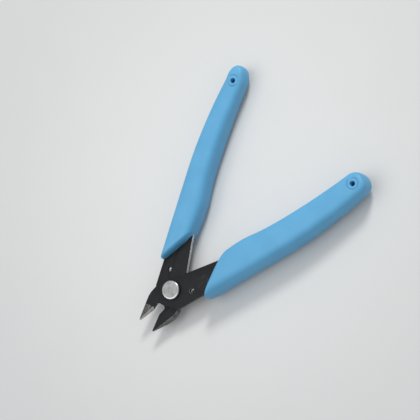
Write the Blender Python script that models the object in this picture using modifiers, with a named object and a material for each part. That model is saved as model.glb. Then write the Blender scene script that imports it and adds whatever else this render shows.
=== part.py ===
"""Flush cut pliers: two lapped steel plates on one rivet, a wire return spring and two hand grips.

The pivot axis is Z through the origin, and the origin is the centre of the rivet's flat tail face.
The handles run towards +Y and the jaws towards -Y. At rest the pliers stand open.
Each arm is drawn in its own frame first: y along the handle, x outward from the other arm.
The upper plate carries the +X handle and the -X jaw, and the lower plate is the same blank turned over.
"""
import math

import bmesh
import bpy
from mathutils import Matrix, Vector

MM = 0.001

# Overall, in millimetres and degrees
OPEN_ANGLE = 45.0          # between the two handles at rest
CLOSED_ANGLE = 23.0        # between the two handles when the edges meet
HANDLE_REACH = 108.4       # pivot to the far end of a grip
JAW_REACH = 21.7           # pivot to a jaw's tip

# Gaps between touching pieces
CLEARANCE = 0.3

# Plates
PLATE_THICK = 1.8
PLATE_OUTER = 9.6          # outer edge of the plate beside the pivot
PLATE_BOSS = 5.9           # inner side of the plate beside the pivot
BOSS_TAPER = 0.3           # how much less that side stands out below the pivot
SHOULDER_DROP = 6.5        # how far the outer shoulder runs down past the pivot
THROAT_REACH = 8.9         # pivot to the relief behind the cutting edge
THROAT_SETBACK = 1.1       # how far that relief stands back from the edge's root
THROAT_RUN = 3.2           # from the relief out to the shoulder
CUT_ROOT = 13.0            # pivot to where the cutting edge starts
CUT_OFFSET = 0.75          # how far the edge's root stands off the centre line when closed
EDGE_OVERLAP = 0.08        # how far each edge passes the centre line when closed
TIP_RADIUS = 0.3
TIP_THICK = 0.75           # what the ground facet leaves at the tip
EDGE_LAND = 0.15           # flat left on the cutting edge
EDGE_BEVEL = 1.15          # width of the bevel behind the cutting edge
BEVEL_RUNOUT = 2.4         # how far that bevel runs on past both ends of the edge
FACET_OUTER = (-1.1, -14.6)     # where the tip's ground facet starts on the outer edge
FACET_LEAN = 0.3           # and how it meets the inner edge, from the cutting edge's root
FACET_RISE = 2.0
NECK_INNER = 3.3           # inner edge of the neck at NECK_Y, on the side of the other arm
NECK_Y = 11.0
NECK_TAPER = 0.15          # how fast the neck narrows towards the grip's mouth
JAW_BACK = (-4.5, -10.8)   # where the jaw's outer edge turns in towards its tip
TIP_BACK = 1.0             # the outer edge's last corner, across and back from the tip

# Rivet
SHANK_DIA = 4.6
HEAD_DIA = 8.8
HEAD_THICK = 1.3
TAIL_DIA = 7.6
TAIL_THICK = 1.1
RIVET_ROUND = 0.45

# Return spring
WIRE_DIA = 1.1
WIRE_BEND = 1.3
SPRING_HOLE_DIA = 2.2
SPRING_HOLE = (5.2, 9.0)
SPRING_HOLE_CHAMFER = 0.35
UPPER_END_DEPTH = 1.0      # from the upper plate's top face down to that end of the wire

# Grips
GRIP_WIDTH = 12.0
GRIP_THICK = 13.0
GRIP_SQUARENESS = 2.9      # superellipse power of the section: 2 is round, higher is squarer
GRIP_OFFSET = 4.5          # centre line of the grip off the line from the pivot along the handle
GRIP_END_OFFSET = 1.1      # where that centre line ends, at the hanging hole
GRIP_BEND_START = 56.0     # the centre line is straight up to here and then curves inward
GRIP_END_WIDTH = 9.6       # at the hanging hole
GRIP_END_THICK = 10.4
FINGER_SWELL = 1.3         # how far the inner side stands out near the mouth
SWELL_Y = 34.0
SWELL_LENGTH = 13.0
LIP_ROUND = 2.6
HOLE_TO_END = 7.9
HANG_HOLE_DIA = 2.3
MOUTH_INNER_Y = 27.2       # where the slanted mouth crosses the grip's inner side
MOUTH_OUTER_Y = 11.6       # and its outer side
SLANT_FADE_Y = 66.0        # the grip's rings are square to the handle from here on

# Tang, the part of each plate inside its grip
TANG_WIDTH = 6.2
TANG_TO_HOLE = 4.2         # from the tang's end to the hanging hole's centre
TANG_INSIDE = 8.0          # from the mouth's inner side to where the tang has its full width
TANG_NARROWING = 0.6       # taken off each side at its end
SHOULDER_INSIDE = 2.0      # from the mouth's outer side to where the plate's outer edge turns in

# Levels, built up from the tail face
SPRING_Z = TAIL_THICK + CLEARANCE + WIRE_DIA / 2
LOWER_Z = SPRING_Z + WIRE_DIA / 2 + CLEARANCE + PLATE_THICK / 2
UPPER_Z = LOWER_Z + PLATE_THICK + CLEARANCE
HEAD_Z = UPPER_Z + PLATE_THICK / 2 + CLEARANCE
HANG_HOLE_Y = HANDLE_REACH - HOLE_TO_END
BORE_DIA = SHANK_DIA + 2 * CLEARANCE

ARC_STEP = math.radians(12)
RING_POINTS = 28


def clear_scene():
    for obj in list(bpy.data.objects):
        bpy.data.objects.remove(obj, do_unlink=True)


def new_collection(name):
    collection = bpy.data.collections.new(name)
    bpy.context.scene.collection.children.link(collection)
    return collection


def principled(name, colour, roughness, metallic):
    material = bpy.data.materials.new(name)
    material.use_nodes = True
    shader = material.node_tree.nodes["Principled BSDF"]
    shader.inputs["Base Color"].default_value = (*colour, 1.0)
    shader.inputs["Roughness"].default_value = roughness
    shader.inputs["Metallic"].default_value = metallic
    return material


# --- outlines in an arm's own frame -----------------------------------------------------------

def closed_point(x, y):
    """A point of the closed pliers' cutting line, given in the arm's own frame."""
    turn = math.radians(CLOSED_ANGLE / 2)
    return (x * math.cos(turn) - y * math.sin(turn), x * math.sin(turn) + y * math.cos(turn))


def rounded(corners):
    """Replace each corner (x, y, radius) with an arc that is tangent to both its sides."""
    points = []
    count = len(corners)
    for index, (x, y, radius) in enumerate(corners):
        here = Vector((x, y))
        before = Vector(corners[index - 1][:2]) - here
        after = Vector(corners[(index + 1) % count][:2]) - here
        opening = before.angle(after)
        reach = min(radius / math.tan(opening / 2), 0.45 * before.length, 0.45 * after.length)
        arc_radius = reach * math.tan(opening / 2)
        start = here + before.normalized() * reach
        end = here + after.normalized() * reach
        inward = (before.normalized() + after.normalized()).normalized()
        centre = here + inward * math.hypot(reach, arc_radius)
        sweep = math.pi - opening
        steps = max(1, math.ceil(sweep / ARC_STEP))
        from_angle = math.atan2(start.y - centre.y, start.x - centre.x)
        to_angle = math.atan2(end.y - centre.y, end.x - centre.x)
        turn = (to_angle - from_angle + math.pi) % (2 * math.pi) - math.pi
        for step in range(steps + 1):
            angle = from_angle + turn * step / steps
            points.append((centre.x + arc_radius * math.cos(angle), centre.y + arc_radius * math.sin(angle)))
    return points


def grown(points, amount):
    """Move a closed outline outward by an amount, corner by corner. Points run anticlockwise."""
    moved = []
    count = len(points)
    for index in range(count):
        before = Vector(points[index - 1])
        here = Vector(points[index])
        after = Vector(points[(index + 1) % count])
        first = (here - before).normalized()
        second = (after - here).normalized()
        along = (first + second).normalized()
        normal = Vector((along.y, -along.x))
        stretch = amount / max(0.5, normal.dot(Vector((first.y, -first.x))))
        moved.append((here.x + normal.x * stretch, here.y + normal.y * stretch))
    return moved


def grip_centre(y):
    """The grip's centre line: x for a given y."""
    if y <= GRIP_BEND_START:
        return GRIP_OFFSET
    share = (y - GRIP_BEND_START) / (HANG_HOLE_Y - GRIP_BEND_START)
    return GRIP_OFFSET + (GRIP_END_OFFSET - GRIP_OFFSET) * share ** 2


def taper(y, body, end):
    """A size that is constant along the grip's body and eases to another at the hanging hole."""
    if y <= GRIP_BEND_START:
        return body
    share = min(1.0, (y - GRIP_BEND_START) / (HANG_HOLE_Y - GRIP_BEND_START))
    return body + (end - body) * share ** 1.5


def plate_outline():
    """One plate seen from its facet side. Each corner is x, y and the radius it is rounded to."""
    tip = closed_point(EDGE_OVERLAP, -JAW_REACH)
    root = closed_point(CUT_OFFSET + EDGE_OVERLAP, -CUT_ROOT)
    throat = closed_point(CUT_OFFSET - THROAT_SETBACK, -THROAT_REACH)
    tang_end = HANG_HOLE_Y - TANG_TO_HOLE
    tang_start = MOUTH_INNER_Y + TANG_INSIDE
    half = TANG_WIDTH / 2
    bend = (GRIP_BEND_START + tang_end) / 2
    corners = [
        (*tip, TIP_RADIUS),
        (*root, 1.5),
        (*throat, 1.3),
        (throat[0] + THROAT_RUN, -SHOULDER_DROP, 2.0),
        (PLATE_OUTER, -0.4, 1.4),
        (PLATE_OUTER, MOUTH_OUTER_Y + SHOULDER_INSIDE, 3.0),
        (grip_centre(tang_start) + half, MOUTH_INNER_Y - 2.0, 6.0),
        (grip_centre(GRIP_BEND_START) + half, GRIP_BEND_START, 60.0),
        (grip_centre(bend) + half, bend, 60.0),
        (grip_centre(tang_end) + half - TANG_NARROWING, tang_end, 2.2),
        (grip_centre(tang_end) - half + TANG_NARROWING, tang_end, 2.2),
        (grip_centre(bend) - half, bend, 60.0),
        (grip_centre(GRIP_BEND_START) - half, GRIP_BEND_START, 60.0),
        (grip_centre(tang_start) - half, tang_start, 6.0),
        (-NECK_INNER + (MOUTH_INNER_Y - NECK_Y) * NECK_TAPER, MOUTH_INNER_Y, 6.0),
        (-NECK_INNER, NECK_Y, 20.0),
        (-PLATE_BOSS, 0.0, 12.0),
        (-PLATE_BOSS + BOSS_TAPER, -SHOULDER_DROP, 5.0),
        (*JAW_BACK, 12.0),
        (tip[0] - TIP_BACK, tip[1] + TIP_BACK, 2.0),
    ]
    return rounded(corners)


# --- solids -----------------------------------------------------------------------------------

def prism(name, points, thickness, collection):
    """A flat outline as a 2D curve, given its thickness and made a closed mesh."""
    curve = bpy.data.curves.new(name, "CURVE")
    curve.dimensions = "2D"
    curve.fill_mode = "BOTH"
    curve.extrude = thickness / 2 * MM
    spline = curve.splines.new("POLY")
    spline.points.add(len(points) - 1)
    for point, (x, y) in zip(spline.points, points):
        point.co = (x * MM, y * MM, 0.0, 1.0)
    spline.use_cyclic_u = True
    holder = bpy.data.objects.new(name + "_curve", curve)
    bpy.context.scene.collection.objects.link(holder)
    return meshed(holder, name, collection)


def meshed(holder, name, collection):
    """Replace a curve object with a closed mesh object of the same shape."""
    bpy.context.view_layer.update()
    evaluated = holder.evaluated_get(bpy.context.evaluated_depsgraph_get())
    mesh = bpy.data.meshes.new_from_object(evaluated)
    mesh.name = name
    bm = bmesh.new()
    bm.from_mesh(mesh)
    bmesh.ops.remove_doubles(bm, verts=bm.verts, dist=0.00001)
    bmesh.ops.recalc_face_normals(bm, faces=bm.faces)
    bm.to_mesh(mesh)
    bm.free()
    obj = bpy.data.objects.new(name, mesh)
    obj.matrix_world = holder.matrix_world
    collection.objects.link(obj)
    bpy.data.objects.remove(holder, do_unlink=True)
    return obj


def wire_cutter(obj):
    obj.hide_render = True
    obj.display_type = "WIRE"
    return obj


def cylinder_cutter(name, diameter, height, centre, collection, top_diameter=None):
    """A round cutter along Z; a top diameter makes it a cone."""
    bm = bmesh.new()
    top = diameter if top_diameter is None else top_diameter
    bmesh.ops.create_cone(
        bm, cap_ends=True, cap_tris=False, segments=32,
        radius1=diameter / 2 * MM, radius2=top / 2 * MM, depth=height * MM,
    )
    mesh = bpy.data.meshes.new(name)
    bm.to_mesh(mesh)
    bm.free()
    obj = bpy.data.objects.new(name, mesh)
    obj.location = Vector(centre) * MM
    collection.objects.link(obj)
    return wire_cutter(obj)


def block_cutter(name, centre, along, normal, size, collection):
    """A block over a slanting plane: its lower face has its middle at a point and lies along a direction."""
    normal = Vector(normal).normalized()
    if normal.z < 0:
        normal.negate()
    along = Vector(along).normalized()
    beside = normal.cross(along)
    bm = bmesh.new()
    bmesh.ops.create_cube(bm, size=1.0)
    bmesh.ops.scale(bm, vec=Vector(size) * MM, verts=bm.verts)
    mesh = bpy.data.meshes.new(name)
    bm.to_mesh(mesh)
    bm.free()
    obj = bpy.data.objects.new(name, mesh)
    turn = Matrix((along, beside, normal)).transposed().to_4x4()
    middle = (Vector(centre) + normal * size[2] / 2) * MM
    obj.matrix_world = Matrix.Translation(middle) @ turn
    collection.objects.link(obj)
    return wire_cutter(obj)


def loft(name, rings, collection):
    """A closed skin over a row of rings that all have the same number of points."""
    bm = bmesh.new()
    rows = [[bm.verts.new(Vector(point) * MM) for point in ring] for ring in rings]
    for row, following in zip(rows, rows[1:]):
        for index in range(len(row)):
            beside = (index + 1) % len(row)
            bm.faces.new((row[index], row[beside], following[beside], following[index]))
    bm.faces.new(rows[0])
    bm.faces.new(rows[-1])
    bmesh.ops.recalc_face_normals(bm, faces=bm.faces)
    mesh = bpy.data.meshes.new(name)
    bm.to_mesh(mesh)
    bm.free()
    obj = bpy.data.objects.new(name, mesh)
    collection.objects.link(obj)
    return obj


def cut(obj, cutters):
    """Take the cutters out of an object and keep the result as its mesh."""
    for cutter in cutters:
        modifier = obj.modifiers.new(cutter.name, "BOOLEAN")
        modifier.operation = "DIFFERENCE"
        modifier.solver = "EXACT"
        modifier.object = cutter
    return obj


def shade(obj, degrees=35):
    obj.data.shade_smooth()
    obj.data.set_sharp_from_angle(angle=math.radians(degrees))


# --- pieces, each drawn flat in its arm's own frame --------------------------------------------

def make_plate(name, collection, cutters):
    """One stamped plate, mid-plane at z 0. Its flat lap face is below and its ground facets above."""
    half = PLATE_THICK / 2
    plate = prism(name, plate_outline(), PLATE_THICK, collection)
    edge_tip = Vector((*closed_point(EDGE_OVERLAP, -JAW_REACH), -half + EDGE_LAND))
    edge_root = Vector((*closed_point(CUT_OFFSET + EDGE_OVERLAP, -CUT_ROOT), -half + EDGE_LAND))
    edge = edge_root - edge_tip
    slope = Vector((-EDGE_BEVEL, 0, PLATE_THICK - EDGE_LAND))
    bevel = block_cutter(
        name + "_bevel", (edge_tip + edge_root) / 2, edge, slope.cross(edge),
        (edge.length + 2 * BEVEL_RUNOUT, 8, 4), cutters,
    )
    facet_outer = Vector((*FACET_OUTER, half))
    facet_inner = Vector((edge_root.x - FACET_LEAN, edge_root.y + FACET_RISE, half))
    facet_tip = Vector((edge_tip.x, edge_tip.y, -half + TIP_THICK))
    across = facet_inner - facet_outer
    facet = block_cutter(
        name + "_facet", facet_outer, across, across.cross(facet_tip - facet_outer), (40, 40, 10), cutters,
    )
    bore = cylinder_cutter(name + "_bore", BORE_DIA, 3 * PLATE_THICK, (0, 0, 0), cutters)
    hole = cylinder_cutter(
        name + "_spring_hole", SPRING_HOLE_DIA, 3 * PLATE_THICK, (*SPRING_HOLE, 0), cutters,
    )
    flare = 2 * SPRING_HOLE_CHAMFER
    chamfer = cylinder_cutter(
        name + "_chamfer", SPRING_HOLE_DIA, flare, (*SPRING_HOLE, half),
        cutters, top_diameter=SPRING_HOLE_DIA + 2 * flare,
    )
    return cut(plate, [facet, bevel, bore, hole, chamfer])


def grip_ring(y, inset, blunt):
    """One section of the grip: a superellipse whose ring slants with the mouth near it."""
    centre = grip_centre(min(y, HANG_HOLE_Y))
    half = taper(y, GRIP_WIDTH, GRIP_END_WIDTH) / 2
    half_thick = taper(y, GRIP_THICK, GRIP_END_THICK) / 2
    swell = FINGER_SWELL * math.exp(-((y - SWELL_Y) / SWELL_LENGTH) ** 2)
    slant = (MOUTH_OUTER_Y - MOUTH_INNER_Y) / GRIP_WIDTH
    fade = min(1.0, max(0.0, (SLANT_FADE_Y - y) / (SLANT_FADE_Y - mouth_middle())))
    ring = []
    for step in range(RING_POINTS):
        angle = 2 * math.pi * step / RING_POINTS
        across = math.copysign(abs(math.cos(angle)) ** (2 / GRIP_SQUARENESS), math.cos(angle))
        up = math.copysign(abs(math.sin(angle)) ** (2 / GRIP_SQUARENESS), math.sin(angle))
        side = half + (swell if across < 0 else 0.0)
        x = across * (side - inset) * blunt[0]
        z = up * (half_thick - inset) * blunt[1]
        ring.append((centre + x, y + slant * x * fade, z))
    return ring


def mouth_middle():
    return (MOUTH_INNER_Y + MOUTH_OUTER_Y) / 2


def make_grip(name, collection, cutters):
    """One soft grip, mid-plane at z 0, with its socket for the tang and its hanging hole."""
    full = (1.0, 1.0)
    mouth = mouth_middle()
    rings = []
    lip_steps = 4
    for step in range(lip_steps + 1):
        angle = math.pi / 2 * step / lip_steps
        back = LIP_ROUND * (1 - math.cos(angle))
        inset = LIP_ROUND * (1 - math.sin(angle))
        rings.append(grip_ring(mouth + back, inset, full))
    body_start = mouth + LIP_ROUND
    body_steps = 16
    for step in range(1, body_steps + 1):
        rings.append(grip_ring(body_start + (HANG_HOLE_Y - body_start) * step / body_steps, 0.0, full))
    end_steps = 8
    for step in range(1, end_steps + 1):
        share = math.sin(math.pi / 2 * step / end_steps * 0.985)
        blunt = (math.sqrt(1 - share ** 2), (1 - share ** 6) ** (1 / 3))
        rings.append(grip_ring(HANG_HOLE_Y + HOLE_TO_END * share, 0.0, blunt))
    grip = loft(name, rings, collection)
    socket = prism(name + "_socket", grown(plate_outline(), CLEARANCE), PLATE_THICK + 2 * CLEARANCE, cutters)
    wire_cutter(socket)
    hang = cylinder_cutter(
        name + "_hang_hole", HANG_HOLE_DIA, 2 * GRIP_THICK, (GRIP_END_OFFSET, HANG_HOLE_Y, 0), cutters,
    )
    return cut(grip, [socket, hang])


def make_rivet(collection):
    """The pivot rivet, turned about Z from its tail face at z 0 up to its head."""
    head_top = HEAD_Z + HEAD_THICK
    head = HEAD_DIA / 2
    shank = SHANK_DIA / 2
    tail = TAIL_DIA / 2
    profile = [(0.0, head_top), (head - RIVET_ROUND, head_top)]
    for step in range(1, 4):
        angle = math.radians(90 - 30 * step)
        profile.append((
            head - RIVET_ROUND + RIVET_ROUND * math.cos(angle),
            head_top - RIVET_ROUND + RIVET_ROUND * math.sin(angle),
        ))
    profile += [
        (head, HEAD_Z), (shank, HEAD_Z), (shank, TAIL_THICK),
        (tail, TAIL_THICK), (tail, RIVET_ROUND), (tail - RIVET_ROUND, 0.0), (0.0, 0.0),
    ]
    mesh = bpy.data.meshes.new("pivot_rivet")
    mesh.from_pydata(
        [(x * MM, 0.0, z * MM) for x, z in profile],
        [(index, index + 1) for index in range(len(profile) - 1)],
        [],
    )
    rivet = bpy.data.objects.new("pivot_rivet", mesh)
    collection.objects.link(rivet)
    turn = rivet.modifiers.new("Turned", "SCREW")
    turn.angle = 2 * math.pi
    turn.steps = 48
    turn.render_steps = 48
    turn.use_merge_vertices = True
    turn.merge_threshold = 0.00001
    turn.use_smooth_shade = False
    return rivet


def turned_about_pivot(point, side):
    """A point of an arm's own frame in the world's x and y. Side is 1 for the upper arm, -1 for the lower."""
    angle = math.radians(OPEN_ANGLE / 2)
    x, y = point
    return (side * (x * math.cos(angle) + y * math.sin(angle)), -x * math.sin(angle) + y * math.cos(angle))


def make_spring(collection):
    """The return spring: a hairpin round the shank whose turned-up ends sit in the plates' holes."""
    loop = SHANK_DIA / 2 + CLEARANCE + WIRE_DIA / 2
    ends = {
        -1: LOWER_Z + PLATE_THICK / 2 - CLEARANCE,
        1: UPPER_Z + PLATE_THICK / 2 - UPPER_END_DEPTH,
    }

    def leg(side):
        """From a turned-up end down, round the bend and in to where the leg meets the loop."""
        hole = Vector(turned_about_pivot(SPRING_HOLE, side))
        reach = hole.length
        lean = math.acos(loop / reach)
        touch_angle = math.atan2(hole.y, hole.x) - side * lean
        touch = Vector((math.cos(touch_angle), math.sin(touch_angle))) * loop
        inward = (touch - hole).normalized()
        points = [(hole.x, hole.y, ends[side])]
        bend_steps = 5
        for step in range(bend_steps + 1):
            angle = math.pi / 2 * step / bend_steps
            slide = WIRE_BEND * (1 - math.cos(angle))
            drop = WIRE_BEND * (1 - math.sin(angle))
            spot = hole + inward * slide
            points.append((spot.x, spot.y, SPRING_Z + drop))
        return points, touch_angle

    lower_points, lower_angle = leg(-1)
    upper_points, upper_angle = leg(1)
    upper_angle = lower_angle + (upper_angle - lower_angle) % (2 * math.pi)
    loop_points = []
    loop_steps = 14
    for step in range(loop_steps + 1):
        angle = lower_angle + (upper_angle - lower_angle) * step / loop_steps
        loop_points.append((loop * math.cos(angle), loop * math.sin(angle), SPRING_Z))
    path = lower_points + loop_points + upper_points[::-1]

    curve = bpy.data.curves.new("return_spring", "CURVE")
    curve.dimensions = "3D"
    curve.bevel_depth = WIRE_DIA / 2 * MM
    curve.bevel_resolution = 2
    curve.use_fill_caps = True
    spline = curve.splines.new("POLY")
    spline.points.add(len(path) - 1)
    for point, (x, y, z) in zip(spline.points, path):
        point.co = (x * MM, y * MM, z * MM, 1.0)
    holder = bpy.data.objects.new("return_spring_curve", curve)
    bpy.context.scene.collection.objects.link(holder)
    return meshed(holder, "return_spring", collection)


def place(objects, side, level, empty):
    """Turn an arm's pieces and cutters about the pivot and lift them to their level."""
    half_open = math.radians(OPEN_ANGLE / 2)
    turn = Matrix.Rotation(-side * half_open, 4, "Z")
    flip = Matrix.Identity(4) if side == 1 else Matrix.Rotation(math.pi, 4, "Y")
    lift = Matrix.Translation((0, 0, level * MM))
    for obj in objects:
        obj.parent = empty
        bpy.context.view_layer.update()
        obj.matrix_world = lift @ turn @ flip @ obj.matrix_basis


def main():
    clear_scene()
    collection = new_collection("flush_cut_pliers")
    cutters = new_collection("cutters")
    steel = principled("black_steel", (0.028, 0.031, 0.034), 0.42, 0.6)
    bright = principled("bright_steel", (0.62, 0.62, 0.60), 0.30, 1.0)
    wire = principled("spring_wire", (0.50, 0.50, 0.48), 0.30, 1.0)
    rubber = principled("blue_grip", (0.125, 0.385, 0.62), 0.55, 0.0)

    for prefix, side, level in (("upper", 1, UPPER_Z), ("lower", -1, LOWER_Z)):
        pivot = bpy.data.objects.new(prefix + "_arm_pivot", None)
        collection.objects.link(pivot)
        plate = make_plate(prefix + "_plate", collection, cutters)
        grip = make_grip(prefix + "_grip", collection, cutters)
        plate.data.materials.append(steel)
        grip.data.materials.append(rubber)
        own_cutters = [obj for obj in cutters.objects if obj.name.startswith(prefix)]
        place([plate, grip, *own_cutters], side, level, pivot)
        shade(plate)
        shade(grip)

    rivet = make_rivet(collection)
    rivet.data.materials.append(bright)
    spring = make_spring(collection)
    spring.data.materials.append(wire)
    shade(spring, 60)


main()
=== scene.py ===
import math

import bmesh
import bpy
from mathutils import Matrix, Vector


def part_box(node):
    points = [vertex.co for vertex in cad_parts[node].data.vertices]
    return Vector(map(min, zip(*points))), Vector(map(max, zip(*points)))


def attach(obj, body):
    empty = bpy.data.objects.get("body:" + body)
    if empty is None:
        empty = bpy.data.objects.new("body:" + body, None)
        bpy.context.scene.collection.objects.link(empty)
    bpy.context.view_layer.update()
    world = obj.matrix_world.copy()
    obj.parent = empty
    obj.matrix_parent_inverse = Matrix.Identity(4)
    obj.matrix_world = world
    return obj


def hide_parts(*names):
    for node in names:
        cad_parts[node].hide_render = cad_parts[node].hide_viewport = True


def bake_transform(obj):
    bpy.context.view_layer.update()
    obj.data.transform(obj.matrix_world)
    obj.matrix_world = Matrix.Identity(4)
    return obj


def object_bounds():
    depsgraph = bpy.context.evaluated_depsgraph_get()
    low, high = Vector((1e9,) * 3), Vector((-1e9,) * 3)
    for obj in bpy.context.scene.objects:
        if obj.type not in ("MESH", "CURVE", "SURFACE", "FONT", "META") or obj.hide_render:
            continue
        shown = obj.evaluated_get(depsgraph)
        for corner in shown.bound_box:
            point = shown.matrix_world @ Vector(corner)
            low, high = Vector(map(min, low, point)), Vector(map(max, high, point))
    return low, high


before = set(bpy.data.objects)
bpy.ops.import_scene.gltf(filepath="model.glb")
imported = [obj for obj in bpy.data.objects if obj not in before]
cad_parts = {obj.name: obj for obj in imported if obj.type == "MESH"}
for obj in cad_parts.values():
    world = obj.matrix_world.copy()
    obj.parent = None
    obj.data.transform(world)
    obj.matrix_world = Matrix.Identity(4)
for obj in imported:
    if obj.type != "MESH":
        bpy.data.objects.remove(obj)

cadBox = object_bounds()
mm = 0.001
perMetre = 1000.0              # millimetres in a metre, for shader maths
sides = {"upper": 1, "lower": -1}
cadPlates = {arm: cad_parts[arm + "_plate"] for arm in sides}

# Each arm has a frame of its own: y runs along the handle and x points away from the other arm.
# Side 1 is the upper arm. Side -1 is the lower arm, which is turned over.
pliers = {
    "openAngle": 45.0,         # degrees between the handles as they lie
    "springHole": (5.2, 9.0),  # millimetres, on an arm
}
cleaning = {
    "merge": 0.002,            # millimetres between points that become one
    "flat": 0.6,               # degrees, up to which neighbouring faces become one
    "sliver": 0.01,            # millimetres, the size of what a cut leaves behind
    "degenerate": 0.008,
    "passes": 3,
}


def levelOf(node):
    low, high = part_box(node)
    return (low.z + high.z) / 2


def armPlacement(side):
    node = "upper_grip" if side == 1 else "lower_grip"
    turn = Matrix.Rotation(-side * math.radians(pliers["openAngle"] / 2), 4, "Z")
    flip = Matrix.Identity(4) if side == 1 else Matrix.Rotation(math.pi, 4, "Y")
    return Matrix.Translation((0, 0, levelOf(node))) @ turn @ flip


def inWorld(side, x, y):
    # a place on an arm, in millimetres, as world x and y in metres
    spot = armPlacement(side) @ Vector((x * mm, y * mm, 0))
    return spot.x, spot.y


class Signal:
    # one socket of a node tree; arithmetic on it adds Math nodes

    def __init__(self, tree, socket):
        self.tree = tree
        self.socket = socket

    def math(self, operation, *values):
        return self.tree.add("ShaderNodeMath", {"operation": operation}, dict(enumerate(values)))

    def __add__(self, other):
        return self.math("ADD", self, other)

    def __radd__(self, other):
        return self.math("ADD", other, self)

    def __sub__(self, other):
        return self.math("SUBTRACT", self, other)

    def __rsub__(self, other):
        return self.math("SUBTRACT", other, self)

    def __mul__(self, other):
        return self.math("MULTIPLY", self, other)

    def __rmul__(self, other):
        return self.math("MULTIPLY", other, self)

    def __truediv__(self, other):
        return self.math("DIVIDE", self, other)

    def __rtruediv__(self, other):
        return self.math("DIVIDE", other, self)

    def __pow__(self, other):
        return self.math("POWER", self, other)

    def __rpow__(self, other):
        return self.math("POWER", other, self)

    def __neg__(self):
        return self.math("MULTIPLY", self, -1.0)

    def __abs__(self):
        return self.math("ABSOLUTE", self)

    def under(self, other):
        return self.math("LESS_THAN", self, other)

    def higherOf(self, other):
        return self.math("MAXIMUM", self, other)

    def lowerOf(self, other):
        return self.math("MINIMUM", self, other)

    def clamped(self):
        return self.higherOf(0.0).lowerOf(1.0)

    def sign(self):
        return self.math("SIGN", self)

    def sine(self):
        return self.math("SINE", self)

    def cosine(self):
        return self.math("COSINE", self)

    def exponent(self):
        return self.math("EXPONENT", self)


class Tree:
    # a shader or geometry node tree that is filled by add()

    def __init__(self, nodeTree):
        self.nodeTree = nodeTree

    def add(self, kind, settings=None, sockets=None, output=0):
        node = self.nodeTree.nodes.new(kind)
        for key, value in (settings or {}).items():
            setattr(node, key, value)
        for key, value in (sockets or {}).items():
            self.feed(node.inputs[key], value)
        return Signal(self, node.outputs[output])

    def feed(self, socket, value):
        if isinstance(value, Signal):
            self.nodeTree.links.new(value.socket, socket)
        elif socket.type == "RGBA" and len(value) == 3:
            socket.default_value = (*value, 1.0)
        else:
            socket.default_value = value

    def separate(self, vector):
        parts = self.add("ShaderNodeSeparateXYZ", None, {"Vector": vector})
        outputs = parts.socket.node.outputs
        return [Signal(self, outputs[index]) for index in range(3)]

    def ramp(self, value, start, end):
        # 0 at start and 1 at end, eased; start may be the higher of the two
        return self.add("ShaderNodeMapRange", {"interpolation_type": "SMOOTHSTEP"}, {
            "Value": value,
            "From Min": start,
            "From Max": end,
        })


class Finish(Tree):
    # a material made of a Principled shader and the nodes that feed it

    def __init__(self, name):
        self.material = bpy.data.materials.new(name)
        self.material.use_nodes = True
        super().__init__(self.material.node_tree)
        self.shader = self.nodeTree.nodes["Principled BSDF"]
        self.place = self.add("ShaderNodeTexCoord", output="Object")

    def turned(self, degrees, scale=(1, 1, 1), shift=(0, 0, 0)):
        return self.add("ShaderNodeMapping", None, {
            "Vector": self.place,
            "Rotation": (0, 0, math.radians(degrees)),
            "Scale": scale,
            "Location": shift,
        })

    def noise(self, scale, detail=3.0, roughness=0.5, vector=None):
        return self.add("ShaderNodeTexNoise", None, {
            "Vector": vector or self.place,
            "Scale": scale,
            "Detail": detail,
            "Roughness": roughness,
        })

    def blend(self, share, first, second):
        return self.add("ShaderNodeMix", {"data_type": "RGBA"}, {0: share, 6: first, 7: second}, output=2)

    def bump(self, height, distance, strength):
        return self.add("ShaderNodeBump", None, {
            "Height": height,
            "Distance": distance,
            "Strength": strength,
        })

    def finish(self, sockets):
        for key, value in sockets.items():
            self.feed(self.shader.inputs[key], value)
        return self.material


# Grips: soft blue sleeves, lofted in Geometry Nodes from one rule

grip = {
    "width": 12.0,             # millimetres, along the straight part
    "thick": 13.0,
    "endWidth": 9.6,           # at the hanging hole
    "endThick": 10.4,
    "squareness": 3.5,         # superellipse power of the section
    "offset": 4.5,             # centre line off the line from the pivot
    "endOffset": 1.1,
    "bendStart": 56.0,         # where the centre line starts to curve inward
    "holeY": 100.5,
    "holeToEnd": 7.9,
    "swell": 1.3,              # how far the finger side stands out near the mouth
    "swellY": 34.0,
    "swellLength": 13.0,
    "lipRound": 2.6,
    "mouthInner": 27.2,        # where the slanted mouth crosses the two sides
    "mouthOuter": 11.6,
    "slantFade": 66.0,         # where the rows have turned square to the handle
}
# what each arm's grip has instead of the sizes above
gripFit = {
    "upper": {
        "mouthInner": 31.4, "mouthOuter": 12.4, "width": 14.2, "thick": 14.8, "offset": 5.4,
        "endWidth": 11.4, "endThick": 11.6, "endOffset": 1.6, "holeToEnd": 5.8,
    },
    "lower": {
        "mouthInner": 26.4, "mouthOuter": 10.4, "width": 11.4, "thick": 12.6, "offset": 4.8,
        "endWidth": 9.2, "endThick": 9.8, "endOffset": 1.4,
    },
}
gripMesh = {
    "around": 112,
    "capRows": 6,              # rows of the flat mouth, the lip, the body and the end
    "lipRows": 12,
    "bodyRows": 120,
    "endRows": 26,
    "narrowPower": 1.5,        # higher narrows the handle later
    "bluntPower": 6.0,         # higher keeps the end's top flat for longer
    "bluntRoot": 0.3333,
    "sharpAngle": 40.0,        # edges that turn more than this stay crisp
    "socketGap": 0.12,         # millimetres round the tang
}
hangHole = {
    "radius": 1.15,
    "flare": 0.22,             # how far the hole's rim is rounded back
    "ringInner": 2.45,         # the moulded ring round the hole
    "ringWidth": 0.42,
    "ringDepth": 0.13,
    "ringSlope": 0.2,          # how far the ring's walls lean apart above the grip
    "holeSteps": 48,
    "ringSteps": 64,
}
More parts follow.
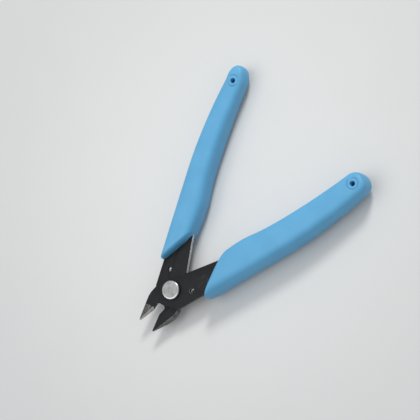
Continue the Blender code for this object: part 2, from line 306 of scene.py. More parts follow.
gripLook = {
    "top": (0.102, 0.355, 0.590),
    "deep": (0.091, 0.333, 0.562),
    "worn": (0.128, 0.388, 0.615),
    "ringDark": (0.060, 0.215, 0.360),
    "cloudScale": 90,
    "grainScale": 4200,
    "scuffScale": 600,
    "wornShare": 0.3,
    "ringDarkShare": 0.18,
    "roughness": 0.42,
    "specular": 0.40,
    "bump": 0.00005,
}


def blueGripFinish(side, sizes):
    finish = Finish("blueGrip" + ("Upper" if side == 1 else "Lower"))
    cloud = finish.noise(gripLook["cloudScale"], 2.0)
    grain = finish.noise(gripLook["grainScale"], 2.0, 0.6)
    scuff = finish.noise(gripLook["scuffScale"], 5.0, 0.7, finish.turned(20, (1, 0.25, 1)))
    # darker in the moulded ring round the hanging hole
    holeX, holeY = inWorld(side, sizes["endOffset"], sizes["holeY"])
    x, y = finish.separate(finish.place)[:2]
    fromHole = (((x - holeX) ** 2.0) + ((y - holeY) ** 2.0)) ** 0.5 * perMetre
    ring = finish.ramp(abs(fromHole - hangHole["ringInner"] - hangHole["ringWidth"] / 2), 0.40, 0.15)
    base = finish.blend(finish.ramp(cloud, 0.35, 0.65), gripLook["deep"], gripLook["top"])
    worn = finish.ramp(scuff, 0.62, 0.74) * gripLook["wornShare"]
    rubbed = finish.blend(worn, base, gripLook["worn"])
    return finish.finish({
        "Base Color": finish.blend(ring * gripLook["ringDarkShare"], rubbed, gripLook["ringDark"]),
        "Roughness": gripLook["roughness"] + cloud * 0.10 + worn * 0.3,
        "Normal": finish.bump(grain * 0.5 + scuff * 0.3, gripLook["bump"], 0.5),
        "Specular IOR Level": gripLook["specular"],
    })


class Graph(Tree):
    # a geometry node tree whose outside sockets are named

    def __init__(self, name, inputs):
        self.group = bpy.data.node_groups.new(name, "GeometryNodeTree")
        super().__init__(self.group)
        self.group.interface.new_socket("Geometry", in_out="OUTPUT", socket_type="NodeSocketGeometry")
        for key, (kind, value) in inputs.items():
            socket = self.group.interface.new_socket(key, in_out="INPUT", socket_type="NodeSocket" + kind)
            if value is not None:
                socket.default_value = value
        self.entry = self.group.nodes.new("NodeGroupInput")
        self.exit = self.group.nodes.new("NodeGroupOutput")

    def given(self, key):
        return Signal(self, self.entry.outputs[key])

    def close(self, geometry, material):
        whole = self.add("GeometryNodeRealizeInstances", None, {"Geometry": geometry})
        painted = self.add("GeometryNodeSetMaterial", None, {"Geometry": whole, "Material": material})
        self.feed(self.exit.inputs["Geometry"], painted)

    def run(self, name, values, start=None):
        # evaluates the tree once and keeps the result as a plain object
        holder = bpy.data.objects.new(name + "Source", start or bpy.data.meshes.new(name))
        bpy.context.scene.collection.objects.link(holder)
        modifier = holder.modifiers.new("shape", "NODES")
        modifier.node_group = self.group
        for item in self.group.interface.items_tree:
            if item.in_out == "INPUT" and item.name in values:
                modifier[item.identifier] = values[item.name]
        bpy.context.view_layer.update()
        evaluated = holder.evaluated_get(bpy.context.evaluated_depsgraph_get())
        mesh = bpy.data.meshes.new_from_object(evaluated)
        bpy.data.objects.remove(holder, do_unlink=True)
        mesh.name = name
        bm = bmesh.new()
        bm.from_mesh(mesh)
        bmesh.ops.remove_doubles(bm, verts=bm.verts, dist=cleaning["merge"] * mm)
        bmesh.ops.recalc_face_normals(bm, faces=bm.faces)
        for face in bm.faces:
            face.material_index = 0
        bm.to_mesh(mesh)
        bm.free()
        mesh.materials.clear()
        mesh.materials.append(values["material"])
        return linked(name, mesh)


def linked(name, mesh):
    piece = bpy.data.objects.new(name, mesh)
    bpy.context.scene.collection.objects.link(piece)
    return piece


def gripGraph():
    names = {key: ("Float", value) for key, value in grip.items()}
    graph = Graph("gripLoft", {**names, "material": ("Material", None)})
    size = {key: graph.given(key) for key in grip}
    stages = [gripMesh[key] for key in ("capRows", "lipRows", "bodyRows", "endRows")]
    sheet = graph.add("GeometryNodeMeshGrid", None, {
        "Size X": 1.0,
        "Size Y": 1.0,
        "Vertices X": gripMesh["around"] + 1,
        "Vertices Y": sum(stages) + 1,
    })
    sheetX, sheetY = graph.separate(graph.add("GeometryNodeInputPosition"))[:2]
    turn = (sheetX + 0.5) * (2 * math.pi)
    row = (sheetY + 0.5) * sum(stages)
    # how far along each stretch of rows a point is, from 0 to 1
    cap, lip, body, end = [
        ((row - sum(stages[:index])) / stages[index]).clamped() for index in range(len(stages))
    ]

    mouth = (size["mouthInner"] + size["mouthOuter"]) / 2.0
    lipTurn = lip * (math.pi / 2)
    inset = size["lipRound"] * (1.0 - lipTurn.sine())
    bodyStart = mouth + size["lipRound"]
    endShare = (end * (math.pi / 2)).sine()
    y = (
        mouth + size["lipRound"] * (1.0 - lipTurn.cosine())
        + (size["holeY"] - bodyStart) * body
        + size["holeToEnd"] * endShare
    )
    bluntAcross = (1.0 - endShare * endShare).higherOf(0.0) ** 0.5
    bluntUp = (1.0 - endShare ** gripMesh["bluntPower"]).higherOf(0.0) ** gripMesh["bluntRoot"]

    bend = ((y - size["bendStart"]) / (size["holeY"] - size["bendStart"])).clamped()
    centre = size["offset"] + (size["endOffset"] - size["offset"]) * bend * bend
    narrowing = bend ** gripMesh["narrowPower"]
    half = (size["width"] + (size["endWidth"] - size["width"]) * narrowing) / 2.0
    halfThick = (size["thick"] + (size["endThick"] - size["thick"]) * narrowing) / 2.0

    power = 2.0 / size["squareness"]
    across = turn.cosine().sign() * abs(turn.cosine()) ** power
    rise = turn.sine().sign() * abs(turn.sine()) ** power
    hump = (y - size["swellY"]) / size["swellLength"]
    swell = size["swell"] * (-(hump * hump)).exponent() * across.under(0.0)
    x = across * (half + swell - inset) * bluntAcross * cap
    z = rise * (halfThick - inset) * bluntUp * cap
    slant = (size["mouthOuter"] - size["mouthInner"]) / size["width"]
    fade = ((size["slantFade"] - y) / (size["slantFade"] - mouth)).clamped()
    spot = graph.add("ShaderNodeCombineXYZ", None, {
        "X": (centre + x) * mm,
        "Y": (y + slant * x * fade) * mm,
        "Z": z * mm,
    })
    shaped = graph.add("GeometryNodeSetPosition", None, {"Geometry": sheet, "Position": spot})
    closed = graph.add("GeometryNodeMergeByDistance", None, {
        "Geometry": shaped,
        "Distance": cleaning["merge"] * mm,
    })
    graph.close(closed, graph.given("material"))
    return graph


def lathe(name, profile, steps):
    # a closed shape turned about Z from (radius, height) pairs in millimetres
    # the profile starts and ends on the axis, or for a ring at one and the same point
    # it is made face by face so that its points come in the same order each run
    directions = [Matrix.Rotation(2 * math.pi * step / steps, 3, "Z") for step in range(steps)]
    bm = bmesh.new()
    rows = []
    for radius, height in profile:
        spot = Vector((radius * mm, 0, height * mm))
        rows.append([bm.verts.new(direction @ spot) for direction in directions])
    for row, nextRow in zip(rows, rows[1:]):
        for step in range(steps):
            bm.faces.new((row[step - 1], row[step], nextRow[step], nextRow[step - 1]))
    bmesh.ops.remove_doubles(bm, verts=bm.verts, dist=cleaning["merge"] * mm)
    bmesh.ops.recalc_face_normals(bm, faces=bm.faces)
    mesh = bpy.data.meshes.new(name)
    bm.to_mesh(mesh)
    bm.free()
    return linked(name, mesh)


def mergedCopy(node, name):
    # a CAD node's loose triangles as one mesh, with its flat faces whole again
    mesh = node.data.copy()
    mesh.name = name
    mesh.materials.clear()
    bm = bmesh.new()
    bm.from_mesh(mesh)
    bmesh.ops.remove_doubles(bm, verts=bm.verts, dist=cleaning["merge"] * mm)
    flat = math.radians(cleaning["flat"])
    bmesh.ops.dissolve_limit(bm, angle_limit=flat, verts=bm.verts, edges=bm.edges)
    bm.to_mesh(mesh)
    bm.free()
    return linked(name, mesh)


def applied(piece):
    # the piece as its modifiers leave it, as a plain mesh
    bpy.context.view_layer.update()
    evaluated = piece.evaluated_get(bpy.context.evaluated_depsgraph_get())
    mesh = bpy.data.meshes.new_from_object(evaluated)
    piece.modifiers.clear()
    piece.data = mesh


def swollen(piece, amount):
    # each face moved outward by the same amount
    bm = bmesh.new()
    bm.from_mesh(piece.data)
    bmesh.ops.recalc_face_normals(bm, faces=bm.faces)
    moves = {vert: vert.normal * vert.calc_shell_factor() * amount for vert in bm.verts}
    for vert, move in moves.items():
        vert.co += move
    bm.to_mesh(piece.data)
    bm.free()
    return piece


def closedUp(piece):
    # merges the slivers that a cut leaves and drops what they leave loose
    degenerate = cleaning["degenerate"] * mm
    bm = bmesh.new()
    bm.from_mesh(piece.data)
    bmesh.ops.remove_doubles(bm, verts=bm.verts, dist=cleaning["sliver"] * mm)
    bmesh.ops.dissolve_degenerate(bm, dist=degenerate, edges=bm.edges)
    bmesh.ops.triangulate(bm, faces=[face for face in bm.faces if len(face.verts) > 4])
    bmesh.ops.dissolve_degenerate(bm, dist=degenerate, edges=bm.edges)
    # a face with an open edge is what is left of a sliver
    for turn in range(cleaning["passes"]):
        loose = [face for face in bm.faces if any(len(edge.link_faces) == 1 for edge in face.edges)]
        if not loose:
            break
        bmesh.ops.delete(bm, geom=loose, context="FACES")
    bmesh.ops.holes_fill(bm, edges=[edge for edge in bm.edges if len(edge.link_faces) == 1], sides=0)
    stray = [vert for vert in bm.verts if not vert.link_faces]
    bmesh.ops.delete(bm, geom=stray, context="VERTS")
    bmesh.ops.recalc_face_normals(bm, faces=bm.faces)
    bm.to_mesh(piece.data)
    print(piece.name, "open edges:", sum(len(edge.link_faces) != 2 for edge in bm.edges))
    bm.free()


def carve(piece, cutters):
    for cutter in cutters:
        modifier = piece.modifiers.new("cut", "BOOLEAN")
        modifier.operation = "DIFFERENCE"
        modifier.solver = "EXACT"
        modifier.object = cutter
    applied(piece)
    closedUp(piece)
    for cutter in cutters:
        bpy.data.objects.remove(cutter, do_unlink=True)


def holeCutter(name, top):
    # a pin whose ends flare outward where they pass the grip's two faces
    radius, flare = hangHole["radius"], hangHole["flare"]
    upperHalf = [
        (radius, top - 1.4 * flare), (radius + flare * 0.3, top - flare * 0.5),
        (radius + flare, top), (radius + 3 * flare, top + 2), (0, top + 2),
    ]
    lowerHalf = [(across, -height) for across, height in reversed(upperHalf)]
    return lathe(name, lowerHalf + upperHalf, hangHole["holeSteps"])


def ringCutter(name, top, face):
    inner, outer = hangHole["ringInner"], hangHole["ringInner"] + hangHole["ringWidth"]
    ringFloor, ringTop = face * (top - hangHole["ringDepth"]), face * (top + 1)
    slope = hangHole["ringSlope"]
    return lathe(name, [
        (inner, ringFloor), (outer, ringFloor), (outer + slope, ringTop), (inner - slope, ringTop),
        (inner, ringFloor),
    ], hangHole["ringSteps"])


def makeGrip(graph, arm, side):
    sizes = {**grip, **gripFit[arm]}
    piece = graph.run(arm + "GripSleeve", {**sizes, "material": blueGripFinish(side, sizes)})
    piece.data.transform(armPlacement(side))
    top = sizes["endThick"] / 2
    holeTools = [holeCutter(arm + "HoleCutter", top)]
    holeTools += [ringCutter(arm + "RingCutter", top, face) for face in (1, -1)]
    holeX, holeY = inWorld(side, sizes["endOffset"], sizes["holeY"])
    for tool in holeTools:
        tool.data.transform(Matrix.Translation((holeX, holeY, levelOf(arm + "_grip"))))
    socket = swollen(mergedCopy(cadPlates[arm], arm + "Socket"), gripMesh["socketGap"] * mm)
    carve(piece, [socket, *holeTools])
    piece.data.shade_smooth()
    piece.data.set_sharp_from_angle(angle=math.radians(gripMesh["sharpAngle"]))
    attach(piece, arm + "_arm")
    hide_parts(arm + "_grip")


gripTree = gripGraph()
for arm, side in sides.items():
    makeGrip(gripTree, arm, side)
print("grips made")

# Plates: black oxide on the flats, bright sheared walls, ground jaws

plateLook = {
    "edgeRound": 0.10,         # millimetres taken off the stamped edges
    "edgeSteps": 2,
    "edgeAngle": 25.0,         # edges that turn more than this are rounded
    "sharpAngle": 30.0,        # edges that turn more than this stay crisp
    "flat": 0.995,             # how level a face is before it counts as the plate's flat
    "upright": 0.30,           # how level a face may be and still be a wall
    "jawUpright": 0.60,        # the same on a jaw's outer half
    "steep": 0.85,             # a ground face less level than this is the cutting bevel
    "groundFrom": 8.0,         # the jaw is ground further than this from the pivot
    "outerFrom": 6.0,          # walls further out than this are the arm's outer walls
    "holeReach": 1.6,          # walls within this of a spring hole's axis are its own
}
jawBack = {
    "from": 5.5,               # the back of a jaw, by distance from the pivot
    "to": 21.0,
    "corner": 10.8,            # where the back turns towards the tip
    "edgeSlope": 0.2,          # the cutting edge's way across, per millimetre along
    "backLine": -5.6,          # the back's place across up to the corner
    "backSlope": 0.93,         # its way back across from there on
    "plateThick": 1.8,
    "fullness": 0.8,           # lower carries the change further towards both ends
    "outward": (-0.75, -0.66),
    "upper": (-0.6, -0.6),     # how far its facet side and its lap side are moved outward
    "lower": (1.4, -0.9),
}
steelLook = {
    "oxide": (0.0070, 0.0080, 0.0090),
    "oxideCloud": (0.0120, 0.0130, 0.0145),
    "oxideWorn": (0.034, 0.035, 0.036),
    "groundLight": (0.17, 0.168, 0.16),
    "groundDark": (0.050, 0.049, 0.046),
    # the bevel pair is the brightest ground steel, a painted highlight on the steep cutting bevel and on the
    # rounded jaw edges
    "bevelLight": (0.62, 0.61, 0.59),
    "bevelDark": (0.26, 0.255, 0.24),
    "wallLight": (0.24, 0.235, 0.225),
    "wallDark": (0.060, 0.058, 0.055),
    "sheared": (0.60, 0.60, 0.58),
    "torn": (0.090, 0.088, 0.085),
    "fineScale": 5200,
    "oxideBump": 0.00003,
    "wallBump": 0.00005,
}
scuffPatch = {
    "outward": 4.6,            # the patch's middle on the arm, in millimetres
    "along": 15.5,
    "halfWidth": (3.4, 2.2),   # from where it starts to where it is whole
    "halfLength": (3.6, 2.4),
    "share": 0.75,
}
# from which noise value a stamped wall starts to be bright, and where it is wholly bright
wallLooks = {
    "shearedWall": (0.30, 0.52),
    "tornWall": (0.60, 0.72),
    "rubbedEdge": (0.48, 0.60),
    "holeRim": (0.45, 1.30),
}
# the angle of the grinding lines, how far out the steel turns bare, how unevenly, and which pair of tones it
# takes; the bevel pair is ground steel made brightest as a painted highlight on the cutting bevel and the
# rounded jaw edges
groundLooks = {
    "Facet": {"lines": 15, "bareFrom": 12.3, "ragged": 5.0, "shade": "ground"},
    "JawWall": {"lines": 80, "bareFrom": 6.5, "ragged": 1.5, "shade": "wall"},
    "JawEdge": {"lines": 80, "bareFrom": 10.0, "ragged": 3.0, "shade": "bevel"},
    "Bevel": {"lines": 15, "bareFrom": 11.0, "ragged": 2.0, "shade": "bevel"},
}


def armPlace(finish, side):
    # where a point lies across and along an arm, in millimetres
    x, y = finish.separate(finish.place)[:2]
    angle = math.radians(pliers["openAngle"] / 2)
    outward = x * (side * math.cos(angle)) - y * math.sin(angle)
    along = x * (side * math.sin(angle)) + y * math.cos(angle)
    return outward * perMetre, along * perMetre


def oxideLayers(finish, scuffed=None):
    blotch = finish.noise(260, 4.0, 0.6)
    rolled = finish.noise(900, 3.0, 0.6, finish.turned(24, (1, 0.08, 1)))
    rubbed = finish.ramp(rolled, 0.58, 0.80) * 0.5
    if scuffed is not None:
        outward, along = armPlace(finish, scuffed)
        patchAcross = finish.ramp(abs(outward - scuffPatch["outward"]), *scuffPatch["halfWidth"])
        patchAlong = finish.ramp(abs(along - scuffPatch["along"]), *scuffPatch["halfLength"])
        hatch = finish.ramp(finish.noise(1500, 3.0, 0.6, finish.turned(-35, (1, 0.16, 1))), 0.50, 0.60)
        rubbed = rubbed.higherOf(patchAcross * patchAlong * hatch * scuffPatch["share"])
    clouded = finish.blend(blotch, steelLook["oxide"], steelLook["oxideCloud"])
    return finish.blend(rubbed, clouded, steelLook["oxideWorn"]), blotch, rolled


def blackOxideFinish(name, scuffed=None):
    # scuffed is the side of an arm whose plate has a rubbed patch beside its grip
    finish = Finish(name)
    colour, blotch, rolled = oxideLayers(finish, scuffed)
    grain = finish.noise(steelLook["fineScale"], 3.0, 0.6)
    return finish.finish({
        "Base Color": colour,
        "Metallic": 0.35,
        "Roughness": 0.40 + blotch * 0.16 + grain * 0.08,
        "Normal": finish.bump(grain * 0.7 + rolled * 0.5, steelLook["oxideBump"], 0.5),
        "Specular IOR Level": 0.30,
    })


def shearedWallFinish(name, start, end):
    # a stamped wall: burnished steel, torn dark in places
    finish = Finish(name)
    tear = finish.noise(3200, 4.0, 0.7, finish.turned(0, (1, 1, 0.3)))
    speckle = finish.noise(steelLook["fineScale"], 3.0, 0.7)
    bright = finish.ramp(tear, start, end)
    return finish.finish({
        "Base Color": finish.blend(bright, steelLook["torn"], steelLook["sheared"]),
        "Metallic": 0.8,
        "Roughness": 0.62 - bright * 0.22 + speckle * 0.1,
        "Normal": finish.bump(tear * 0.7 + speckle * 0.3, steelLook["wallBump"], 0.7),
    })


def groundFinish(name, side, look):
    # ground steel with fine lines; oxide is left in ragged patches where the grinding runs out
    finish = Finish(name)
    outward, along = armPlace(finish, side)
    oxide = oxideLayers(finish)[0]
    lines = finish.noise(steelLook["fineScale"], 2.0, 0.6, finish.turned(look["lines"] * side, (1, 0.05, 1)))
    cloud = finish.noise(420, 3.0, 0.6)
    dark, light = steelLook[look["shade"] + "Dark"], steelLook[look["shade"] + "Light"]
    steel = finish.blend(finish.ramp(lines * 0.6 + cloud * 0.4, 0.34, 0.62), dark, light)
    tear = (finish.noise(900, 4.0, 0.7) - 0.5) * look["ragged"]
    bare = finish.ramp(-along - outward * 0.35 + tear, look["bareFrom"] - 0.3, look["bareFrom"] + 0.3)
    return finish.finish({
        "Base Color": finish.blend(bare, oxide, steel),
        "Metallic": 0.35 + bare * 0.55,
        "Roughness": 0.44 - bare * 0.06 + lines * 0.14,
        "Normal": finish.bump(lines * 0.7 + bare * 0.6, steelLook["oxideBump"], 0.6),
    })


def shapeJaw(plate, arm, side):
    # moves the back of the jaw, more on one face than on the other
    intoWorld = armPlacement(side)
    intoArm = intoWorld.inverted()
    facetMove, lapMove = jawBack[arm]
    for vert in plate.data.vertices:
        spot = intoArm @ vert.co
        reach = -spot.y / mm
        if not jawBack["from"] < reach < jawBack["to"]:
            continue
        share = (reach - jawBack["from"]) / (jawBack["to"] - jawBack["from"])
        edge = jawBack["edgeSlope"] * reach
        back = jawBack["backLine"] + max(0.0, reach - jawBack["corner"]) * jawBack["backSlope"]
        across = min(1.0, max(0.0, (edge - spot.x / mm) / (edge - back)))
        up = min(1.0, max(0.0, spot.z / (jawBack["plateThick"] * mm) + 0.5))
        strength = math.sin(math.pi * share) ** jawBack["fullness"] * across ** 2
        move = (lapMove + (facetMove - lapMove) * up) * strength
        spot.x += jawBack["outward"][0] * move * mm
        spot.y += jawBack["outward"][1] * move * mm
        vert.co = intoWorld @ spot


def plateFinishes(arm, side):
    # the finish of each kind of face, in the order of the plate's slots
    ground = {name: groundFinish(arm + name, side, look) for name, look in groundLooks.items()}
    return {
        "flat": oxideSteel[arm],
        "innerWall": walls["shearedWall"],
        "facet": ground["Facet"],
        "jawWall": ground["JawWall"],
        "outerWall": walls["tornWall"],
        "edge": walls["rubbedEdge"],
        "jawEdge": ground["JawEdge"],
        "holeRim": walls["holeRim"],
        "bevel": ground["Bevel"],
    }


def kindOfFace(face, spot, rounded):
    # which of the plate's finishes a face takes, from its place on the arm in millimetres
    level = abs(face.normal.z)
    toHole = math.hypot(spot.x - pliers["springHole"][0], spot.y - pliers["springHole"][1])
    onJaw = spot.y < -plateLook["groundFrom"]
    upright = plateLook["jawUpright"] if onJaw and spot.x < 0 else plateLook["upright"]
    if level > plateLook["flat"]:
        return "flat"
    if toHole < plateLook["holeReach"]:
        return "holeRim" if level > plateLook["upright"] else "flat"
    if rounded:
        # rounded jaw edges take the bevel tones, ground steel with a painted highlight line
        return "jawEdge" if onJaw else "edge"
    if level < upright:
        if onJaw:
            return "jawWall"
        onBack = spot.x < 0 and spot.y < 0
        return "outerWall" if onBack or spot.x > plateLook["outerFrom"] else "innerWall"
    if not onJaw:
        return "flat"
    # the steep cutting bevel takes the bevel tones, ground steel made brighter as a painted highlight
    return "facet" if level > plateLook["steep"] else "bevel"


def makePlate(arm, side):
    plate = mergedCopy(cadPlates[arm], arm + "PlateDetailed")
    finishes = plateFinishes(arm, side)
    for finish in finishes.values():
        plate.data.materials.append(finish)
    slotOf = {kind: index for index, kind in enumerate(finishes)}
    for face in plate.data.polygons:
        face.material_index = slotOf["flat"]
    rounding = plate.modifiers.new("edges", "BEVEL")
    rounding.width = plateLook["edgeRound"] * mm
    rounding.segments = plateLook["edgeSteps"]
    rounding.limit_method = "ANGLE"
    rounding.angle_limit = math.radians(plateLook["edgeAngle"])
    rounding.use_clamp_overlap = True
    rounding.material = slotOf["jawEdge"]
    applied(plate)
    intoArm = armPlacement(side).inverted()
    for face in plate.data.polygons:
        rounded = face.material_index == slotOf["jawEdge"]
        face.material_index = slotOf[kindOfFace(face, (intoArm @ face.center) / mm, rounded)]
    shapeJaw(plate, arm, side)
    plate.data.shade_smooth()
    plate.data.set_sharp_from_angle(angle=math.radians(plateLook["sharpAngle"]))
    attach(plate, arm + "_arm")
    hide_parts(arm + "_plate")


oxideSteel = {
    "upper": blackOxideFinish("blackOxideRubbed", sides["upper"]),
    "lower": blackOxideFinish("blackOxide"),
}
walls = {name: shearedWallFinish(name, *look) for name, look in wallLooks.items()}
for arm, side in sides.items():
    makePlate(arm, side)
print("plates made")

# Rivet: a flat round head, a shank and a small tail

rivet = {
    "headRadius": 4.4,
    "headTop": 8.3,
    "headBottom": 7.0,
    "headDome": 0.10,          # how far the head's middle stands above its rim
    "headChamfer": 0.08,
    "rimRound": 0.60,
    "shankRadius": 2.3,
    "tailRadius": 3.8,
    "tailTop": 1.1,
    "tailRound": 0.35,
    "domeSteps": 8,
    "rimSteps": 8,
    "tailSteps": 6,
    "steps": 128,
    "sharpAngle": 50.0,        # edges that turn more than this stay crisp
}
rivetLook = {
    "bright": (0.40, 0.40, 0.395),
    "dull": (0.27, 0.27, 0.265),
    "smudge": (0.20, 0.20, 0.20),
    # the rim's colour is a painted highlight
    "rim": (0.85, 0.85, 0.84),
    "rimHighlightShare": (0.25, 0.75),  # how bright the painted rim highlight is all round, and what the painted highlight on the jaws' side adds
    "bump": 0.00003,
}


def turnedHeadFinish():
    # faint rings round the pivot, a few pits, a soft smudge, and a painted highlight on the rim, strongest
    # on the side towards the jaws
    finish = Finish("turnedHead")
    x, y = finish.separate(finish.place)[:2]
    radius = (x * x + y * y) ** 0.5
    rings = finish.add("ShaderNodeTexNoise", {"noise_dimensions": "1D"}, {
        "W": radius,
        "Scale": 5200.0,
        "Detail": 2.0,
    })
    cloud = finish.noise(520, 3.0, 0.6)
    pits = finish.ramp(finish.noise(2400, 2.0, 0.5), 0.70, 0.78)
    smudge = finish.ramp(finish.noise(330, 2.0, 0.5, finish.turned(0, shift=(0.004, 0.001, 0))), 0.50, 0.70)
    rimStart = rivet["headRadius"] - rivet["rimRound"] - 0.3
    rim = finish.ramp(radius * perMetre, rimStart, rivet["headRadius"] - 0.25)
    tone = finish.ramp(cloud * 0.7 + rings * 0.3, 0.35, 0.65)
    metal = finish.blend(tone, rivetLook["dull"], rivetLook["bright"])
    smudged = finish.blend((smudge * 0.35 + pits * 0.4).lowerOf(0.6), metal, rivetLook["smudge"])
    # painted highlight: the rim is made brighter all round, and most on the side towards the jaws
    paintedHighlightSide = finish.ramp((x * 0.6 - y * 0.8) / radius, 0.2, 0.9)
    paintedRimHighlight = rim * (rivetLook["rimHighlightShare"][0] + paintedHighlightSide * rivetLook["rimHighlightShare"][1])
    return finish.finish({
        "Base Color": finish.blend(paintedRimHighlight, smudged, rivetLook["rim"]),
        "Metallic": 0.9,
        "Roughness": 0.46 + cloud * 0.12 - rim * 0.26,
        "Normal": finish.bump(rings * 0.6 + cloud * 0.4 - pits * 0.5, rivetLook["bump"], 0.5),
    })


def arc(middleRadius, middleHeight, reach, start, end, steps):
    turns = [math.radians(start + (end - start) * step / steps) for step in range(steps + 1)]
    return [(middleRadius + reach * math.cos(turn), middleHeight + reach * math.sin(turn)) for turn in turns]


def makeRivet():
    head, reach = rivet["headRadius"], rivet["rimRound"]
    bottom, chamfer = rivet["headBottom"], rivet["headChamfer"]
    tail, tailRound = rivet["tailRadius"], rivet["tailRound"]
    rimHeight = rivet["headTop"] - rivet["headDome"]
    flat = head - reach
    shares = [step / rivet["domeSteps"] for step in range(rivet["domeSteps"])]
    profile = [(flat * share, rivet["headTop"] - rivet["headDome"] * share ** 2) for share in shares]
    profile += arc(flat, rimHeight - reach, reach, 90, 0, rivet["rimSteps"])
    profile += [(head, bottom + chamfer), (head - chamfer, bottom), (rivet["shankRadius"], bottom)]
    profile += [(rivet["shankRadius"], rivet["tailTop"]), (tail, rivet["tailTop"])]
    profile += arc(tail - tailRound, tailRound, tailRound, 0, -90, rivet["tailSteps"])
    profile += [(0.0, 0.0)]
    piece = lathe("pivotRivetDetailed", profile, rivet["steps"])
    piece.data.materials.append(turnedHeadFinish())
    piece.data.shade_smooth()
    piece.data.set_sharp_from_angle(angle=math.radians(rivet["sharpAngle"]))
    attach(piece, "lower_arm")
    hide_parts("pivot_rivet")


makeRivet()
print("rivet made")

# Return spring: one wire swept along its path, with domed ends

spring = {
    "wireRadius": 0.55,
    "loopRadius": 3.15,
    "level": 1.95,             # height of the loop's middle
    "bend": 1.3,               # radius where the wire turns up
    "lowerEnd": 4.30,          # heights of the two ends
    "upperEnd": 5.70,
    "stepLength": 0.05,
    "bendSteps": 12,
    "loopSteps": 60,
    "sides": 20,
    "blendReach": 3.0,         # how far to each side of the pivot the bending spreads
}
springLook = {
    "wire": (0.78, 0.78, 0.77),
    "wireDull": (0.44, 0.44, 0.43),
    "paintedHoleShade": (0.02, 0.02, 0.02),
    "paintedShadeHeights": (4.5, 5.0),   # heights between which the wire turns dark inside the upper plate, as painted shade in the hole
    "bump": 0.00002,
}


def drawnWireFinish():
    finish = Finish("drawnWire")
    streaks = finish.noise(2600, 2.0, 0.6, finish.turned(0, (1, 1, 0.15)))
    height = finish.separate(finish.place)[2] * perMetre
    # painted shade: the wire's upper end is painted dark so the upper plate's spring hole looks shaded
    paintedHoleShade = finish.ramp(height, *springLook["paintedShadeHeights"])
    wire = finish.blend(streaks, springLook["wireDull"], springLook["wire"])
    return finish.finish({
        "Base Color": finish.blend(paintedHoleShade * 0.9, wire, springLook["paintedHoleShade"]),
        "Metallic": 1.0 - paintedHoleShade * 0.8,
        "Roughness": 0.26 + streaks * 0.16 + paintedHoleShade * 0.4,
        "Normal": finish.bump(streaks, springLook["bump"], 0.5),
    })


def springLeg(side, top):
    # from the turned-up end down and round the bend; also the angle where the leg meets the loop
    hole = Vector(inWorld(side, *pliers["springHole"])) / mm
    angle = math.atan2(hole.y, hole.x) - side * math.acos(spring["loopRadius"] / hole.length)
    touch = Vector((math.cos(angle), math.sin(angle))) * spring["loopRadius"]
    inward = (touch - hole).normalized()
    points = [(hole.x, hole.y, top)]
    for step in range(spring["bendSteps"] + 1):
        turn = math.pi / 2 * step / spring["bendSteps"]
        spot = hole + inward * spring["bend"] * (1 - math.cos(turn))
        points.append((spot.x, spot.y, spring["level"] + spring["bend"] * (1 - math.sin(turn))))
    return points, angle


def springPath():
    lower, lowerAngle = springLeg(sides["lower"], spring["lowerEnd"])
    upper, upperAngle = springLeg(sides["upper"], spring["upperEnd"])
    sweep = (upperAngle - lowerAngle) % (2 * math.pi)
    radius, steps = spring["loopRadius"], spring["loopSteps"]
    turns = [lowerAngle + sweep * step / steps for step in range(steps + 1)]
    loop = [(radius * math.cos(turn), radius * math.sin(turn), spring["level"]) for turn in turns]
    curve = bpy.data.curves.new("springPath", "CURVE")
    curve.dimensions = "3D"
    points = lower + loop + upper[::-1]
    spline = curve.splines.new("POLY")
    spline.points.add(len(points) - 1)
    for point, spot in zip(spline.points, points):
        point.co = (*(Vector(spot) * mm), 1.0)
    return curve


def wireGraph():
    graph = Graph("wireSweep", {
        "radius": ("Float", spring["wireRadius"] * mm),
        "step": ("Float", spring["stepLength"] * mm),
        "sides": ("Int", spring["sides"]),
        "material": ("Material", None),
    })
    path = graph.group.interface.new_socket("Path", in_out="INPUT", socket_type="NodeSocketGeometry")
    graph.group.interface.move(path, 0)
    radius = graph.given("radius")
    fine = graph.add("GeometryNodeResampleCurve", {"mode": "LENGTH"}, {
        "Curve": graph.given("Path"),
        "Length": graph.given("step"),
    })
    along = graph.add("GeometryNodeSplineParameter", output="Length")
    total = graph.add("GeometryNodeSplineLength")
    fromEnd = (along.lowerOf(total - along) / radius).clamped()
    dome = (1.0 - (1.0 - fromEnd) ** 2.0).higherOf(0.0) ** 0.5
    ring = graph.add("GeometryNodeCurvePrimitiveCircle", None, {
        "Resolution": graph.given("sides"),
        "Radius": radius,
    })
    swept = graph.add("GeometryNodeCurveToMesh", None, {"Curve": fine, "Profile Curve": ring, "Scale": dome})
    graph.close(swept, graph.given("material"))
    return graph


def makeSpring():
    piece = wireGraph().run("returnSpringWire", {
        "radius": spring["wireRadius"] * mm,
        "step": spring["stepLength"] * mm,
        "sides": spring["sides"],
        "material": drawnWireFinish(),
    }, springPath())
    piece.data.shade_smooth()
    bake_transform(piece)
    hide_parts("return_spring")


makeSpring()
print("spring made")

# Floor, light and camera

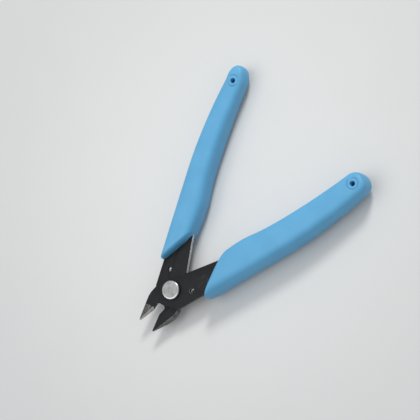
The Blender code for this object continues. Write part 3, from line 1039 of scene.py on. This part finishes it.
stage = {
    "floorSize": 3.0,
    "bright": (0.655, 0.658, 0.652),
    "dim": (0.560, 0.565, 0.562),
    "cloud": 0.16,             # how much the floor's tone wanders
    "reach": (0.02, 0.16),     # from where to where the painted light falloff darkens it, in metres from the view's middle
    "roughness": 0.75,
    "bump": 0.00002,
}
lights = {
    "window": {
        "azimuth": 200, "elevation": 42, "distance": 1.2, "size": 0.30, "power": 8.0,
        "colour": (1.0, 0.99, 0.97),
    },
    "room": {
        "azimuth": 330, "elevation": 70, "distance": 1.6, "size": 1.4, "power": 8.0,
        "colour": (0.96, 0.98, 1.0),
    },
}
sky = {"colour": (0.88, 0.90, 0.92), "strength": 0.62}
viewpoint = {
    "azimuth": 110.7,
    "elevation": 63.35,
    "roll": -71.0,
    "distance": 0.9,
    "target": (-12.6, 38.7),   # millimetres, where the view's middle meets the origin's level
    "focal": 166.6,
    "sensor": 36.0,
    "nearest": 0.01,
}
middle = Vector((viewpoint["target"][0] * mm, viewpoint["target"][1] * mm, 0))


def paleFloorFinish():
    finish = Finish("paleFloor")
    x, y = finish.separate(finish.place)[:2]
    fromMiddle = ((x - middle.x) ** 2.0 + (y - middle.y) ** 2.0) ** 0.5
    mottle = (finish.noise(40, 3.0) - 0.5) * stage["cloud"]
    # painted shade: the floor darkens away from the view's middle, with a random mottle on top
    paintedFalloffAndMottle = (finish.ramp(fromMiddle, *stage["reach"]) + mottle).clamped()
    return finish.finish({
        "Base Color": finish.blend(paintedFalloffAndMottle, stage["bright"], stage["dim"]),
        "Roughness": stage["roughness"],
        "Normal": finish.bump(finish.noise(900, 2.0), stage["bump"], 0.3),
    })


def addFloor():
    mesh = bpy.data.meshes.new("floor")
    bm = bmesh.new()
    bmesh.ops.create_grid(bm, x_segments=1, y_segments=1, size=stage["floorSize"] / 2)
    for vert in bm.verts:
        vert.co.z = cadBox[0].z
    bm.to_mesh(mesh)
    bm.free()
    mesh.materials.append(paleFloorFinish())
    linked("floor", mesh)


def towards(azimuth, elevation):
    # the direction from the pliers to something at that azimuth and elevation
    turn, rise = math.radians(azimuth), math.radians(elevation)
    return Vector((math.sin(turn) * math.cos(rise), -math.cos(turn) * math.cos(rise), math.sin(rise)))


def addSoftLight(name, light):
    lamp = bpy.data.lights.new(name, "AREA")
    lamp.shape = "DISK"
    lamp.size = light["size"]
    lamp.energy = light["power"]
    lamp.color = light["colour"]
    holder = linked(name, lamp)
    back = towards(light["azimuth"], light["elevation"])
    holder.location = middle + back * light["distance"]
    holder.rotation_mode = "QUATERNION"
    holder.rotation_quaternion = (-back).to_track_quat("-Z", "Y")


def addSky():
    world = bpy.data.worlds.new("room")
    world.use_nodes = True
    background = world.node_tree.nodes["Background"]
    background.inputs["Color"].default_value = (*sky["colour"], 1.0)
    background.inputs["Strength"].default_value = sky["strength"]
    bpy.context.scene.world = world


def addCamera():
    turn, roll = math.radians(viewpoint["azimuth"]), math.radians(viewpoint["roll"])
    back = towards(viewpoint["azimuth"], viewpoint["elevation"])
    right = Vector((math.cos(turn), math.sin(turn), 0))
    up = back.cross(right)
    acrossView = right * math.cos(roll) + up * math.sin(roll)
    upView = up * math.cos(roll) - right * math.sin(roll)
    lens = bpy.data.cameras.new("camera")
    lens.sensor_width = viewpoint["sensor"]
    lens.lens = viewpoint["focal"]
    lens.clip_start = viewpoint["nearest"]
    camera = linked("camera", lens)
    turned = Matrix((acrossView, upView, back)).transposed().to_4x4()
    camera.matrix_world = Matrix.Translation(middle + back * viewpoint["distance"]) @ turned
    bpy.context.scene.camera = camera


addFloor()
for name, light in lights.items():
    addSoftLight(name, light)
addSky()
addCamera()
bpy.context.scene.view_settings.view_transform = "Standard"
print("stage set")
